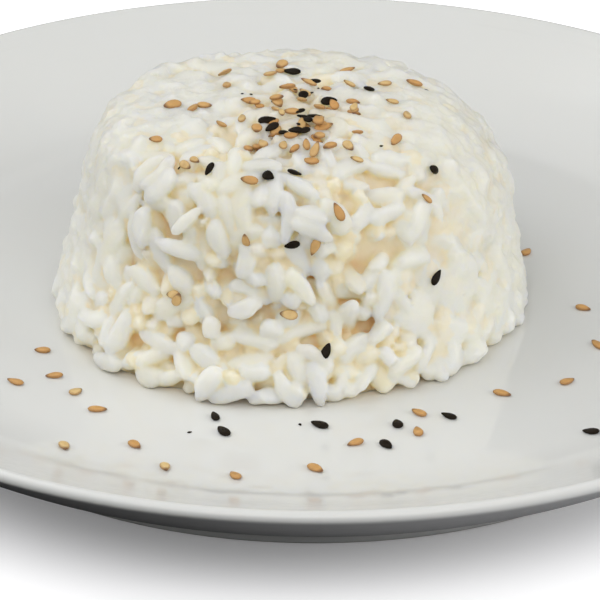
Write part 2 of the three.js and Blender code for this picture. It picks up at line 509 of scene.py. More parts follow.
def glaze_material(sizes):
    """White glaze: glossy, faintly uneven, thinner on the lip, and wiped off the foot."""
    material, tree, shader = new_material("white_glaze")
    patches, fine = mottle(tree, 30 * MM, 2.2 * MM)
    coordinates = add_node(tree, "ShaderNodeTexCoord").outputs["Object"]
    axes = add_node(tree, "ShaderNodeSeparateXYZ", inputs={"Vector": coordinates})
    height = axes.outputs["Z"]
    flat = add_node(
        tree, "ShaderNodeCombineXYZ", inputs={"X": axes.outputs["X"], "Y": axes.outputs["Y"]}
    ).outputs["Vector"]
    reach = add_node(
        tree, "ShaderNodeVectorMath", {"operation": "LENGTH"}, {"Vector": flat}
    ).outputs["Value"]
    foot = remap(tree, height, 0.15 * MM, 0.5 * MM, 1.0, 0.0, smooth=True)

    # Faint broken darker rings just inside the lip.
    rings = calculate(tree, "SINE", calculate(tree, "MULTIPLY", reach, 1500.0))
    near_lip = remap(tree, reach, sizes.radius * 0.93, sizes.radius * 0.955, 0, 1, smooth=True)
    past_lip = remap(tree, reach, sizes.radius * 0.965, sizes.radius * 0.985, 1, 0, smooth=True)
    broken = remap(tree, patches, 0.55, 0.8)
    ring_marks = calculate(
        tree, "MULTIPLY",
        calculate(tree, "MULTIPLY", near_lip, past_lip),
        calculate(tree, "MULTIPLY", remap(tree, rings, 0.75, 0.98), broken),
    )
    thick = tuple(sizes.glaze)
    colour = mix_colours(tree, remap(tree, patches, 0, 1, 0, 0.35), thick,
                         (thick[0] * 1.02, thick[1] * 1.01, thick[2] * 0.985))
    colour = mix_colours(tree, calculate(tree, "MULTIPLY", ring_marks, 0.05), colour, (0.55, 0.55, 0.54))
    colour = mix_colours(tree, foot, colour, tuple(sizes.bare_clay))
    tree.links.new(colour, shader.inputs["Base Color"])
    polish = remap(tree, fine, 0, 1, 0.05, 0.085)
    haze = remap(tree, reach, sizes.well_radius * 1.1, sizes.radius * 0.93, 0, 0.17, smooth=True)
    polish = calculate(tree, "ADD", polish, haze)
    polish = calculate(tree, "ADD", polish, calculate(tree, "MULTIPLY", foot, 0.6), clamp=True)
    tree.links.new(polish, shader.inputs["Roughness"])
    shader.inputs["IOR"].default_value = 1.5
    shader.inputs["Subsurface Weight"].default_value = 0.12
    shader.inputs["Subsurface Radius"].default_value = (0.9, 0.8, 0.7)
    shader.inputs["Subsurface Scale"].default_value = 1.0 * MM
    bump(tree, shader, patches, 0.06 * MM, 0.5)
    return material


def rice_material(name, sizes, shine):
    """Cooked starch: bright and moist outside, with painted shade, warm and dim, where it lies deep in
    the heap and in the creases between grains.
    """
    material, tree, shader = new_material(name)
    patches, fine = mottle(tree, 6 * MM, 0.7 * MM)
    buried = read_attribute(tree, "buried")
    tone = read_attribute(tree, "tone")
    white, cream, inner, gap_shade = (
        tuple(colour) for colour in (sizes.white, sizes.cream, sizes.inner, sizes.gap_shade))
    creaminess = calculate(
        tree, "ADD", calculate(tree, "MULTIPLY", tone, 0.75), calculate(tree, "MULTIPLY", patches, 0.2))
    surface = mix_colours(tree, creaminess, white, cream)
    # Painted shade: creases between grains take the second layer's colour, and deeper places take the
    # second layer's and then the gaps' colour.
    crease = remap(tree, read_attribute(tree, "crease"), 0.2, 0.9, 0, 0.65)
    surface = mix_colours(tree, crease, surface, inner)
    colour = mix_colours(tree, remap(tree, buried, 0.05, 0.55, 0, 1), surface, inner)
    colour = mix_colours(tree, remap(tree, buried, 0.6, 1.0, 0, 1), colour, gap_shade)
    tree.links.new(colour, shader.inputs["Base Color"])
    rough = calculate(tree, "ADD", shine, calculate(tree, "MULTIPLY", fine, 0.22))
    tree.links.new(rough, shader.inputs["Roughness"])
    shader.inputs["IOR"].default_value = 1.36
    shader.inputs["Subsurface Weight"].default_value = 1.0
    shader.inputs["Subsurface Radius"].default_value = (1.0, 0.92, 0.66)
    shader.inputs["Subsurface Scale"].default_value = 8 * MM
    bump(tree, shader, fine, 0.05 * MM, 0.6)
    return material


def seed_material(name, colour, tip, spread, gleam=0.5):
    """Seed skin with fine mottling, darker towards the pointed tip."""
    material, tree, shader = new_material(name)
    patches, fine = mottle(tree, 1.6 * MM, 0.25 * MM)
    along = read_attribute(tree, "along")
    tone = read_attribute(tree, "tone")
    skin = mix_colours(tree, tone, tuple(colour), tuple(spread))
    skin = mix_colours(tree, calculate(tree, "MULTIPLY", patches, 0.35), skin,
                       tuple(0.7 * c for c in colour))
    # Painted shade: the thin edge of every seed is darkened all round.
    margin = read_attribute(tree, "margin")
    edge = calculate(tree, "MULTIPLY", margin, remap(tree, fine, 0, 1, 0.55, 0.95))
    skin = mix_colours(tree, edge, skin, tuple(0.4 * c + 0.6 * t for c, t in zip(colour, tip)))
    skin = mix_colours(tree, remap(tree, along, 0.72, 0.97, 0, 0.85, smooth=True), skin, tuple(tip))
    tree.links.new(skin, shader.inputs["Base Color"])
    tree.links.new(remap(tree, fine, 0, 1, 0.36, 0.6), shader.inputs["Roughness"])
    shader.inputs["IOR"].default_value = 1.46
    shader.inputs["Specular IOR Level"].default_value = gleam
    bump(tree, shader, fine, 0.04 * MM, 0.8)
    return material


# ---------------------------------------------------------------------------------------------
# The plate
# ---------------------------------------------------------------------------------------------

def bezier(points, steps):
    """Points along a Bezier curve of any order, both ends included."""
    along = np.linspace(0, 1, steps + 1)[:, None]
    order = len(points) - 1
    return sum(
        math.comb(order, i) * (1 - along) ** (order - i) * along ** i * np.array(point, float)
        for i, point in enumerate(points)
    )


def arc(centre, radius, start, end, steps):
    angles = np.radians(np.linspace(start, end, steps + 1))
    return np.array(centre) + radius * np.stack([np.cos(angles), np.sin(angles)], 1)


def rim_curve(sizes, steps):
    """The upper side of the rim, from the lip down to the flat well."""
    turn = math.radians(111.6)
    lip = (
        sizes.radius - sizes.lip_round + sizes.lip_round * math.cos(turn),
        sizes.height - sizes.lip_round + sizes.lip_round * math.sin(turn),
    )
    return bezier([
        lip,
        (sizes.radius - 14.5 * MM, sizes.well_height + 7.4 * MM),
        (sizes.well_radius + 14 * MM, sizes.well_height),
        (sizes.well_radius, sizes.well_height),
    ], steps)


def plate_section(sizes):
    """The plate's half section: under the well, round the foot and the lip, and over the well."""
    under = sizes.well_height - sizes.well_thickness
    inner = sizes.foot_radius - sizes.foot_width
    outer = sizes.foot_radius
    edge = 0.8 * MM
    middle = (sizes.radius - sizes.lip_round, sizes.height - sizes.lip_round)
    parts = [
        np.array([(0, under), (inner * 0.5, under)]),
        bezier([(inner - 4 * MM, under), (inner - 1.3 * MM, under), (inner - edge, under - 3 * MM)], 8),
        arc((inner, edge), edge, 180, 270, 5),
        arc((outer, edge), edge, 270, 360, 5),
        bezier([
            (outer + 1.2 * MM, under - 2.2 * MM),
            (outer + 1.7 * MM, under + 0.1 * MM),
            (outer + 3 * MM, under + 0.4 * MM),
        ], 8),
        bezier([
            (outer + 3 * MM, under + 0.4 * MM),
            (outer + 9 * MM, under + 1.8 * MM),
            (sizes.belly_radius - 3 * MM, sizes.belly_height - 1.9 * MM),
            (sizes.belly_radius, sizes.belly_height),
        ], 10)[1:],
        bezier([
            (sizes.belly_radius, sizes.belly_height),
            (sizes.belly_radius + 8.5 * MM, sizes.belly_height + 5.4 * MM),
            (middle[0] + sizes.lip_round * 0.9, middle[1] - sizes.lip_round * 0.45),
        ], 12)[1:],
        arc(middle, sizes.lip_round, -26, 111.6, 14)[1:],
        rim_curve(sizes, 44)[1:],
        np.array([(sizes.well_radius * 0.66, sizes.well_height), (0, sizes.well_height)]),
    ]
    return np.concatenate(parts)


def plate_surface(sizes, x, y):
    """Height and upward normal of the plate's upper side at one place."""
    curve = rim_curve(sizes, 60)[::-1]
    reach = math.hypot(x, y)
    height = float(np.interp(reach, curve[:, 0], curve[:, 1]))
    step = 0.2 * MM
    slope = (float(np.interp(reach + step, curve[:, 0], curve[:, 1])) - height) / step
    outward = Vector((x, y, 0)).normalized()
    return height, (Vector((0, 0, 1)) - outward * slope).normalized()


class DISH_OT_plate(bpy.types.Operator):
    """Turn the plate on a wheel and glaze it"""

    bl_idname = "rice_dish.plate"
    bl_label = "Plate"

    def execute(self, context):
        sizes = context.scene.plate_sizes
        section = plate_section(sizes)
        points = [(x, 0.0, z) for x, z in section]
        plate = new_piece("plate_glazed", points, edges=[(i, i + 1) for i in range(len(points) - 1)])
        run_tree(plate, wheel_tree(), {"Sides": 256, "Finish": glaze_material(sizes)})
        face_outwards(plate.data)
        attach(plate, BODY)
        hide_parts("plate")
        return {"FINISHED"}


def face_outwards(mesh):
    """Turns a closed mesh's faces outwards, whichever way they were made."""
    points = mesh_points(mesh)
    mesh.calc_loop_triangles()
    corners = np.empty(len(mesh.loop_triangles) * 3, np.int32)
    mesh.loop_triangles.foreach_get("vertices", corners)
    a, b, c = points[corners.reshape(-1, 3)].transpose(1, 0, 2)
    if np.einsum("ij,ij->i", a, np.cross(b, c)).sum() < 0:
        mesh.flip_normals()


# ---------------------------------------------------------------------------------------------
# The bowl that the rice was pressed in
# ---------------------------------------------------------------------------------------------

class Mould:
    """The inside of the rice bowl. All its points are measured from the middle of the rice's foot."""

    BASE_RADIUS = 46 * MM
    BASE_LEAN = 0.8 * MM
    TOP_RADIUS = 36.7 * MM
    TOP_LEAN = 0.7 * MM
    SHOULDER_ROUND = 16 * MM
    SHOULDER_LEAN = 8 * MM
    CROWN = 1.2 * MM
    CROWN_LEAN = 0.8 * MM
    OVAL = (1.2 * MM, 1.1 * MM)
    COMPASS = 72

    def __init__(self):
        middle = (rice_low + rice_high) / 2
        front, back = foot_spread(np.array([(0, -1, 0), (0, 1, 0)]))
        self.centre = np.array(
            [middle.x + self.BASE_LEAN, middle.y + (front - back) / 2, rice_low.z])
        self.height = rice_high.z - rice_low.z - 0.6 * MM
        self.tilts = np.radians(np.concatenate([np.linspace(8, 90, 18), [97]]))
        rows = []
        for azimuth in np.linspace(0, 2 * math.pi, self.COMPASS, endpoint=False):
            outline = self.outline(azimuth)
            reach = np.outer(np.cos(self.tilts), outline[:, 0])
            rows.append((reach + np.outer(np.sin(self.tilts), outline[:, 1])).max(1))
        self.supports = np.array(rows)

    def outline(self, azimuth, steps=12):
        """The section at one azimuth, as (radius, height) from the foot to the middle of the top."""
        side = math.cos(azimuth)
        oval = self.OVAL[0] * math.cos(2 * azimuth) + self.OVAL[1] * math.sin(2 * azimuth)
        base = self.BASE_RADIUS + oval - self.BASE_LEAN * side
        lean = base - (oval + self.TOP_RADIUS + self.TOP_LEAN * side)
        shoulder = self.SHOULDER_ROUND + self.SHOULDER_LEAN * side
        crown = self.CROWN - self.CROWN_LEAN * side
        wall_height = self.height - shoulder
        wall_end = base - lean * wall_height / self.height
        wall = np.linspace(0, 1, steps, endpoint=False)[:, None]
        turn = np.linspace(0, math.pi / 2, steps, endpoint=False)
        left = np.linspace(1, 0, steps)
        return np.concatenate([
            (1 - wall) * (base, 0.0) + wall * (wall_end, wall_height),
            np.stack([
                wall_end - shoulder * (1 - np.cos(turn)),
                wall_height + (shoulder - crown) * np.sin(turn),
            ], 1),
            np.stack([(wall_end - shoulder) * left, self.height - crown * left ** 2], 1),
        ])

    def walls(self, x, y):
        """How far each of the flat walls that wrap the mould lies from the middle of the foot."""
        place = np.arctan2(y, x) % (2 * math.pi) / (2 * math.pi) * self.COMPASS
        first = place.astype(int) % self.COMPASS
        share = (place - np.floor(place))[:, None]
        return self.supports[first] * (1 - share) + self.supports[(first + 1) % self.COMPASS] * share

    def height_over(self, x, y):
        supports = self.walls(np.array([x]), np.array([y]))[0]
        return ((supports - math.hypot(x, y) * np.cos(self.tilts)) / np.sin(self.tilts)).min()

    def depth(self, points):
        """How deep points lie inside the nearest wall, and that wall's outward normals."""
        reach = np.hypot(points[:, 0], points[:, 1]) + 1e-9
        supports = self.walls(points[:, 0], points[:, 1])
        depths = supports - np.outer(reach, np.cos(self.tilts)) - np.outer(
            points[:, 2], np.sin(self.tilts))
        nearest = depths.argmin(1)
        outward = np.cos(self.tilts[nearest]) / reach
        normals = np.stack([
            outward * points[:, 0], outward * points[:, 1], np.sin(self.tilts[nearest]),
        ], 1)
        return depths[np.arange(len(points)), nearest], normals


# Where the rice was pressed hardest and its starch fills the gaps: azimuth and half width in
# degrees, and how much of it there is.
PASTE_LOBES = ((186, 32, 1.0), (-10, 46, 0.95), (90, 62, 0.6), (140, 30, 0.2))


def paste_share(points):
    """How far starch fills the gaps, from 0, loose grains, to 1, a smooth paste."""
    azimuth = np.degrees(np.arctan2(points[:, 1], points[:, 0]))
    share = np.zeros(len(points))
    for middle, width, amount in PASTE_LOBES:
        away = (azimuth - middle + 180) % 360 - 180
        share += amount * np.exp(-(away / width) ** 2)
    outer = (np.hypot(points[:, 0], points[:, 1]) / (26 * MM)).clip(0, 1)
    patch = np.sin(points[:, 0] / (7 * MM) + 1.3) * np.sin(
        points[:, 2] / (8 * MM) + points[:, 1] / (9 * MM))
    return (0.35 * (1 - outer) + share * outer + 0.2 * patch).clip(0, 1)


# How far the foot has slumped at the front, what share of that goes all the way round, and the
# height at which it fades out.
SLUMP = 4.6 * MM
SLUMP_ROUND = 0.2
SLUMP_HEIGHT = 13 * MM
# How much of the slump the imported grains, the row at the foot and the core inside them follow.
PACKED_SLUMP = 0.75
ROW_SLUMP = 0.8
CORE_SLUMP = 0.6


def foot_spread(points):
    """How far the foot has slumped out of the mould's shape, mostly at the loose front."""
    facing = -points[:, 1] / (np.hypot(points[:, 0], points[:, 1]) + 1e-9)
    share = SLUMP_ROUND + (1 - SLUMP_ROUND) * facing.clip(0, 1)
    return SLUMP * share * (1 - points[:, 2] / SLUMP_HEIGHT).clip(0, 1)


# ---------------------------------------------------------------------------------------------
# Packing the grains
# ---------------------------------------------------------------------------------------------

# The rice sits this much lower than its own foot, down on the glaze.
REST = -0.2 * MM
BEADS = np.linspace(-1, 1, 5)
BEAD_SWELL = np.array([0.9, 1.0, 1.02, 1.0, 0.9])


def near_pairs(points, reach):
    """All pairs of points that lie in the same or in touching cells of a grid."""
    cells = ((points - points.min(0)) / reach).astype(np.int64) + 1
    sizes = cells.max(0) + 2
    keys = (cells[:, 0] * sizes[1] + cells[:, 1]) * sizes[2] + cells[:, 2]
    order = np.argsort(keys, kind="stable")
    keys = keys[order]
    firsts, seconds = [], []
    steps = [(x, y, z) for x in (-1, 0, 1) for y in (-1, 0, 1) for z in (-1, 0, 1)]
    for step in steps[len(steps) // 2:]:
        wanted = keys + (step[0] * sizes[1] + step[1]) * sizes[2] + step[2]
        start = np.searchsorted(keys, wanted, "left")
        counts = np.searchsorted(keys, wanted, "right") - start
        first = np.repeat(np.arange(len(keys)), counts)
        run = np.arange(counts.sum()) - np.repeat(np.cumsum(counts) - counts, counts)
        second = np.repeat(start, counts) + run
        keep = second > first if step == (0, 0, 0) else np.ones(len(first), bool)
        firsts.append(order[first[keep]])
        seconds.append(order[second[keep]])
    return np.concatenate(firsts), np.concatenate(seconds)


def unit(vectors):
    return vectors / (np.linalg.norm(vectors, axis=-1, keepdims=True) + 1e-12)


class Grains:
    """Grains of rice as short bent rows of beads, pressed in until they hardly overlap."""

    STEPS = 240
    FILL = 1620
    FOOT_ROW = 96
    ROW_LENGTH = 6.8 * MM
    ROW_WIDTH = 3.2 * MM

    def __init__(self, mould, sizes, random):
        count = self.FILL
        self.mould = mould
        self.shell = sizes.shell
        self.length = (sizes.grain_length * random.normal(1, 0.13, count)).clip(5.6 * MM, 11.0 * MM)
        self.width = (sizes.grain_width * random.normal(1, 0.11, count)).clip(2.5 * MM, 4.4 * MM)
        self.broken = random.random(count) < sizes.broken
        self.length[self.broken] *= random.uniform(0.5, 0.75, self.broken.sum())
        self.bend = random.choice([0.02, 0.05, 0.09], count, p=[0.35, 0.4, 0.25])
        self.centre = self.start_places(count, random)
        _, normals = mould.depth(self.centre)
        self.axis = random.normal(size=(count, 3))
        self.axis -= 0.5 * normals * (self.axis * normals).sum(1, keepdims=True)
        self.axis = unit(self.axis)
        self.side = random.normal(size=(count, 3))
        self.side -= 0.85 * normals * (self.side * normals).sum(1, keepdims=True)
        self.square_up()
        self.standing_out = random.normal(0, 1, count) + 1.2 * (random.random(count) < 0.12)
        self.ragged = sizes.ragged
        for step in range(self.STEPS):
            if step % 4 == 0:
                self.find_neighbours()
                loose = 0.1 + 0.9 * (1 - paste_share(self.centre))
                allowance = self.standing_out * loose * self.ragged
                top = self.centre[:, 2] > 0.82 * mould.height
                allowance = np.where(top, allowance.clip(None, 0.8 * MM), allowance)
                self.allowance = np.repeat(allowance, len(BEADS))
            self.relax(step / self.STEPS)
        self.add_foot_row(random)

    def add_foot_row(self, random):
        """Adds grains all round that slid down to the plate and lean against the foot."""
        count = self.FOOT_ROW
        turn = 2 * math.pi * (np.arange(count) + random.uniform(-0.4, 0.4, count)) / count
        outward = np.stack([np.cos(turn), np.sin(turn), np.zeros(count)], 1)
        along = np.stack([-np.sin(turn), np.cos(turn), np.zeros(count)], 1)
        length = (self.ROW_LENGTH * random.normal(1, 0.12, count)).clip(5.2 * MM, 8.4 * MM)
        width = (self.ROW_WIDTH * random.normal(1, 0.1, count)).clip(2.6 * MM, 4.0 * MM)
        rise = random.uniform(-1.0, 1.0, count)[:, None]
        out = random.normal(0, 0.4, count)[:, None]
        lift = random.choice([0, 1.4 * MM, 3.0 * MM], count, p=[0.45, 0.3, 0.25])
        axis = along * np.cos(rise) + (np.array([0, 0, 0.85]) - 0.45 * outward) * np.sin(rise)
        axis = unit(axis + out * outward)
        base = np.array([self.mould.outline(azimuth)[0, 0] for azimuth in turn])
        inside = 0.45 * width + random.uniform(1.1, 3.0, count) * MM + 0.4 * lift
        centre = outward * (base + ROW_SLUMP * foot_spread(outward) - inside)[:, None]
        centre[:, 2] = np.abs(axis[:, 2]) * (length - width) / 2 + width / 2 + REST + lift
        kept = random.random(count) > 0.85 * paste_share(centre)
        self.length = np.concatenate([self.length, length[kept]])
        self.width = np.concatenate([self.width, width[kept]])
        self.broken = np.concatenate([self.broken, np.zeros(kept.sum(), bool)])
        self.bend = np.concatenate([self.bend, np.full(kept.sum(), 0.05)])
        self.centre = np.concatenate([self.centre, centre[kept]])
        self.axis = np.concatenate([self.axis, axis[kept]])
        self.side = np.concatenate([self.side, random.normal(size=(count, 3))[kept]])
        self.square_up()

    def start_places(self, count, random):
        found = np.empty((0, 3))
        while len(found) < count:
            tries = random.uniform((-48, -48, 1.5), (48, 48, 42), (4000, 3)) * MM
            depths, _ = self.mould.depth(tries)
            found = np.concatenate([found, tries[(depths > 1.6 * MM) & (depths < self.shell)]])
        return found[:count]

    def square_up(self):
        self.side -= (self.side * self.axis).sum(1, keepdims=True) * self.axis
        self.side = unit(self.side)

    def beads(self):
        """The middles of all beads, grain by grain, and how far each lies along its grain."""
        along = BEADS * (self.length / 2 - self.width / 2 * BEAD_SWELL[0])[:, None]
        bow = ((1 - BEADS ** 2) - 2 / 3) * (self.bend * self.length)[:, None]
        places = self.centre[:, None] + self.axis[:, None] * along[..., None]
        return places + self.side[:, None] * bow[..., None], along

    def find_neighbours(self):
        places, _ = self.beads()
        first, second = near_pairs(places.reshape(-1, 3), 4.4 * MM)
        other = first // len(BEADS) != second // len(BEADS)
        self.pairs = first[other], second[other]

    def relax(self, progress):
        """Moves and turns every grain a little, out of its neighbours and into the mould."""
        places, along = self.beads()
        flat = places.reshape(-1, 3)
        growth = min(1.0, 0.45 + 1.1 * progress)
        radii = (self.width[:, None] / 2 * BEAD_SWELL * growth).ravel()
        first, second = self.pairs
        gap = flat[second] - flat[first]
        distance = np.linalg.norm(gap, axis=1) + 1e-12
        overlap = (radii[first] + radii[second]) * 0.83 - distance
        touching = overlap > 0
        first, second = first[touching], second[touching]
        push = gap[touching] * (overlap / distance / 2)[touching, None]
        count = len(flat)
        shift = np.stack([
            np.bincount(second, push[:, i], count) - np.bincount(first, push[:, i], count)
            for i in range(3)
        ], 1)
        contacts = np.bincount(first, minlength=count) + np.bincount(second, minlength=count)
        shift /= np.maximum(1, contacts / 2)[:, None]

        depths, normals = self.mould.depth(flat)
        allowed = radii - self.allowance - PACKED_SLUMP * foot_spread(flat)
        shift -= normals * (allowed - depths).clip(0)[:, None] * 0.8
        shift += normals * (depths - self.shell).clip(0)[:, None] * 0.3
        shift += normals * 0.03 * MM * (1 - progress)
        shift[:, 2] += (radii + REST - flat[:, 2]).clip(0)

        moved = (flat + shift).reshape(places.shape)
        self.centre = self.centre + (moved - places).mean(1)
        turned = unit(((moved - moved.mean(1, keepdims=True)) * along[..., None]).sum(1))
        self.axis = unit(0.5 * self.axis + 0.5 * turned)
        self.square_up()


def turns_from_axes(first, second, third):
    """Quaternions, as rows of w, x, y, z, of the frames whose axes are given."""
    rows = []
    for x, y, z in zip(first, second, third):
        rows.append(Matrix((x, y, z)).transposed().to_quaternion())
    return np.array([(q.w, q.x, q.y, q.z) for q in rows], np.float32)


def grain_shape(name, bend, taper=0.0, notch=0.0, cut=1.0, waist=0.0, sides=12, rings=11):
    """One grain, a unit long along X and a unit across. It bends towards Y by a share of that."""
    length_to_width = 2.55
    vertices = [(-0.5, bend * length_to_width * -2 / 3, 0.0)]
    for ring in range(1, rings):
        along = -math.cos(math.pi * ring / rings)
        swell = (1 - abs(along) ** 2.6) ** 0.5 * (1 + taper * along)
        swell *= 1 - waist * math.exp(-(along / 0.35) ** 2)
        bow = bend * length_to_width * ((1 - along ** 2) - 2 / 3)
        for side in range(sides):
            angle = 2 * math.pi * side / sides
            dent = notch * math.exp(-((along + 0.75) / 0.25) ** 2) * max(0, math.sin(angle))
            across = 0.5 * swell * (1 - dent)
            side_on, face_on = math.sin(angle), math.cos(angle)
            vertices.append((
                0.5 * min(along, cut),
                bow + across * math.copysign(abs(side_on) ** 0.85, side_on),
                across * math.copysign(abs(face_on) ** 0.65, face_on),
            ))
    vertices.append((0.5 * cut, bend * length_to_width * ((1 - cut ** 2) - 2 / 3), 0.0))
    last = len(vertices) - 1
    faces = []
    for side in range(sides):
        after = (side + 1) % sides
        faces.append((0, 1 + after, 1 + side))
        for ring in range(rings - 2):
            here, there = 1 + ring * sides, 1 + (ring + 1) * sides
            faces.append((here + side, here + after, there + after, there + side))
        top = 1 + (rings - 2) * sides
        faces.append((top + side, top + after, last))
    return shape_object(name, vertices, faces)


def shape_object(name, vertices, faces):
    """A shape that is only copied from, and never shown itself."""
    mesh = bpy.data.meshes.new(name)
    mesh.from_pydata(vertices, [], faces)
    face_outwards(mesh)
    mesh.shade_smooth()
    return bpy.data.objects.new(name, mesh)


def scatter(name, shapes, finish, places, variation, seed):
    """One joined mesh with a copy of a shape on every place."""
    kinds = bpy.data.collections.new(name + "_kinds")
    for shape in shapes:
        kinds.objects.link(shape)
    piece = new_piece(name, places["position"])
    for key, kind in (("turn", "QUATERNION"), ("span", "FLOAT_VECTOR"), ("kind", "INT"),
                      ("tone", "FLOAT")):
        set_attribute(piece.data, key, kind, places[key])
    tree = bpy.data.node_groups.get("set_on_places") or scatter_tree()
    run_tree(piece, tree, {
        "Kinds": kinds, "Size Variation": variation, "Seed": seed, "Finish": finish,
    })
    for shape in shapes:
        bpy.data.objects.remove(shape)
    bpy.data.collections.remove(kinds)
    for key in ("turn", "span", "kind"):
        if key in piece.data.attributes:
            piece.data.attributes.remove(piece.data.attributes[key])
    return piece


def whole_grain_shapes():
    return [
        grain_shape("whole_a", 0.02, taper=0.12, notch=0.3),
        grain_shape("whole_b", 0.02, taper=-0.18, notch=0.45),
        grain_shape("whole_c", 0.05, taper=0.2, notch=0.3),
        grain_shape("whole_d", 0.05, taper=-0.08, waist=0.1),
    ]


def bent_grain_shapes():
    return [
        grain_shape("bent_a", 0.09, taper=0.07, notch=0.35),
        grain_shape("bent_b", 0.10, taper=-0.06, waist=0.06),
        grain_shape("bent_c", 0.08, taper=0.12, notch=0.2),
    ]


def broken_grain_shapes():
    return [
        grain_shape("broken_a", 0.03, taper=0.1, cut=0.7),
        grain_shape("broken_b", 0.05, taper=0.18, cut=0.8, notch=0.3),
        grain_shape("broken_c", 0.02, taper=-0.1, cut=0.75),
    ]


# How far the core lies inside the mould: under loose grains, under paste, and in the lowest strip
# round the foot, which is this high.
LOOSE_GAP = 3.8 * MM
PASTE_GAP = 1.4 * MM
STRIP_GAP = 3.6 * MM
STRIP_HEIGHT = 3 * MM


def core_mesh(mould, columns=240, rows=30):
    """The solid middle of the heap, near the surface where starch fills the gaps between grains."""
    points = []
    for azimuth in np.linspace(0, 2 * math.pi, columns, endpoint=False):
        for reach, height in mould.outline(azimuth, rows)[:-1]:
            points.append((reach * math.cos(azimuth), reach * math.sin(azimuth), height))
    points = np.array(points)
    _, normals = mould.depth(points)
    gap = LOOSE_GAP + (PASTE_GAP - LOOSE_GAP) * paste_share(points)
    strip = (1 - points[:, 2] / STRIP_HEIGHT).clip(0, 1)
    gap -= (gap - STRIP_GAP) * strip + CORE_SLUMP * foot_spread(points)
    points -= normals * gap[:, None]
    points[:, 2] = np.maximum(points[:, 2], REST)
    rows = len(points) // columns
    under = len(points)
    over = under + 1
    vertices = [*points, (0, 0, REST), (0, 0, mould.height - 3 * MM)]
    faces = []
    for column in range(columns):
        here = column * rows
        there = (column + 1) % columns * rows
        faces.append((under, there, here))
        for row in range(rows - 1):
            faces.append((here + row, there + row, there + row + 1, here + row + 1))
        faces.append((over, here + rows - 1, there + rows - 1))
    return [np.array(v) + mould.centre for v in vertices], faces


def join_pieces(name, pieces):
    """One plain piece out of several, which are used up."""
    mesh = bpy.data.meshes.new(name)
    joined = bmesh.new()
    for piece in pieces:
        joined.from_mesh(piece.data)
        bpy.data.objects.remove(piece)
    joined.to_mesh(mesh)
    joined.free()
    made = bpy.data.objects.new(name, mesh)
    bpy.context.scene.collection.objects.link(made)
    return made


def keep_largest_part(mesh):
    """Deletes the bubbles and loose faces that fusing and thinning leave in and on a mesh."""
    whole = bmesh.new()
    whole.from_mesh(mesh)
    parts = []
    left = set(whole.verts)
    while left:
        reached = [left.pop()]
        part = []
        while reached:
            vertex = reached.pop()
            part.append(vertex)
            for edge in vertex.link_edges:
                other = edge.other_vert(vertex)
                if other in left:
                    left.remove(other)
                    reached.append(other)
        parts.append(part)
    parts.sort(key=len)
    for part in parts[:-1]:
        bmesh.ops.delete(whole, geom=part, context="VERTS")
    whole.to_mesh(mesh)
    whole.free()


def fuse(piece, mould, voxel, fat, rounds, triangles, finish):
    """Makes one skin round overlapping closed shapes and eases it into their creases."""
    remesh = piece.modifiers.new("fuse", "REMESH")
    remesh.mode = "VOXEL"
    remesh.voxel_size = voxel
    bake_modifiers(piece)
    paste = (paste_share(mesh_points(piece.data) - mould.centre) - 0.35) / 0.5
    set_attribute(piece.data, "paste", "FLOAT", paste.clip(0, 1).astype(np.float32))
    run_tree(piece, skin_tree(), {"Rounds": rounds, "Shrink": fat, "Finish": finish})
    count = 2 * len(piece.data.polygons)
    if count > triangles:
        thin = piece.modifiers.new("thin", "DECIMATE")
        thin.ratio = triangles / count
        bake_modifiers(piece)
    keep_largest_part(piece.data)


